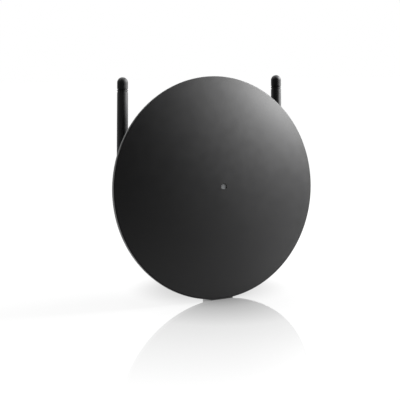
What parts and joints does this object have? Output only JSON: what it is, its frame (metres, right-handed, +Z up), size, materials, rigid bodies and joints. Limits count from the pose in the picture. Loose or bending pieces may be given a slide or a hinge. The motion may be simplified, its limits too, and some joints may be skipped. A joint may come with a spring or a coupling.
{
  "type": "wireless audio transmitter",
  "caption": "Round domed transmitter disc that stands on its rim, with folding antennas behind it, a status light in front and audio sockets under its rear housing.",
  "frame": {"origin": "on the surface that it stands on, under the middle of its bounding box", "axes": "+Z up, +Y from the domed front towards the back, +X to the right as seen from the front"},
  "size_m": [0.18, 0.0508, 0.1801],
  "materials": {
    "cover_black": "satin, fine texture",
    "shell_black": "satin, fine texture",
    "rubber": "matt",
    "clear": "frosted",
    "lens_red": "clear",
    "led_white": "gloss",
    "board_green": "solder mask",
    "tin": "tinned",
    "gold": "gold plated",
    "chip_black": "matt",
    "can_silver": "satin",
    "phono_white": "gloss",
    "phono_red": "gloss",
    "steel": "plain",
    "lead_black": "satin",
    "antenna_black": "satin",
    "brass": "plain"
  },
  "bodies": {
    "casing": {"front_cover": "cover_black", "rear_shell": "shell_black", "back_cover": "shell_black", "stand_leg": "shell_black", "stand_pad": "rubber", "rim_pad": "rubber", "back_feet": "rubber", "light_pipe": "clear", "status_led": "led_white", "main_board": "board_green", "radio_board": "board_green", "radio_shield": "tin", "coax_plugs": "gold", "board_chips": "chip_black", "capacitors": "can_silver", "board_screws": "steel", "shell_screws": "steel", "cover_screws": "steel", "leg_screws": "steel", "rca_body": "chip_black", "rca_left_barrel": "gold", "rca_left_insert": "phono_white", "rca_right_barrel": "gold", "rca_right_insert": "phono_red", "aux_jack": "chip_black", "optical_socket": "chip_black", "optical_lens": "lens_red", "usb_shell": "tin", "usb_tongue": "chip_black", "pair_switch": "chip_black", "zone_switch": "chip_black", "right_coax": "lead_black", "left_coax": "lead_black"},
    "pair_button": {"pair_button": "chip_black", "pair_plunger": "chip_black"},
    "zone_slider": {"zone_slider": "chip_black"},
    "optical_shutter": {"optical_shutter": "chip_black"},
    "right_elbow": {"right_elbow": "antenna_black", "right_clip": "steel", "right_hinge_pin": "steel"},
    "right_whip": {"right_whip": "antenna_black", "right_tip_cap": "antenna_black", "right_element": "brass"},
    "left_elbow": {"left_elbow": "antenna_black", "left_clip": "steel", "left_hinge_pin": "steel"},
    "left_whip": {"left_whip": "antenna_black", "left_tip_cap": "antenna_black", "left_element": "brass"}
  },
  "joints": [
    {"name": "right_swivel", "type": "hinge", "parent": "casing", "child": "right_elbow", "pos_m": [0.072, 0.01265, 0.09238], "axis": [-1, 0, 0], "range_deg": [-10, 180]},
    {"name": "right_fold", "type": "hinge", "parent": "right_elbow", "child": "right_whip", "pos_m": [0.072, 0.01265, 0.09238], "axis": [0, 1, 0], "range_deg": [-4.8, 90.2]},
    {"name": "left_swivel", "type": "hinge", "parent": "casing", "child": "left_elbow", "pos_m": [-0.072, 0.01265, 0.09238], "axis": [-1, 0, 0], "range_deg": [-10, 180]},
    {"name": "left_fold", "type": "hinge", "parent": "left_elbow", "child": "left_whip", "pos_m": [-0.072, 0.01265, 0.09238], "axis": [0, -1, 0], "range_deg": [-3.4, 91.6]},
    {"name": "pair_press", "type": "slide", "parent": "casing", "child": "pair_button", "axis": [0, -0.0663, -0.9978], "range_m": [0, 0.0005], "stiffness_N_per_m": 2000, "springref_m": -0.0003},
    {"name": "zone_slide", "type": "slide", "parent": "casing", "child": "zone_slider", "axis": [1, 0, 0], "range_m": [-0.002, 0.002]},
    {"name": "shutter_swing", "type": "hinge", "parent": "casing", "child": "optical_shutter", "pos_m": [-0.026, 0.00659, 0.06974], "axis": [-1, 0, 0], "range_deg": [0, 80], "stiffness_Nm_per_rad": 0.00002, "springref_deg": -28.65}
  ]
}
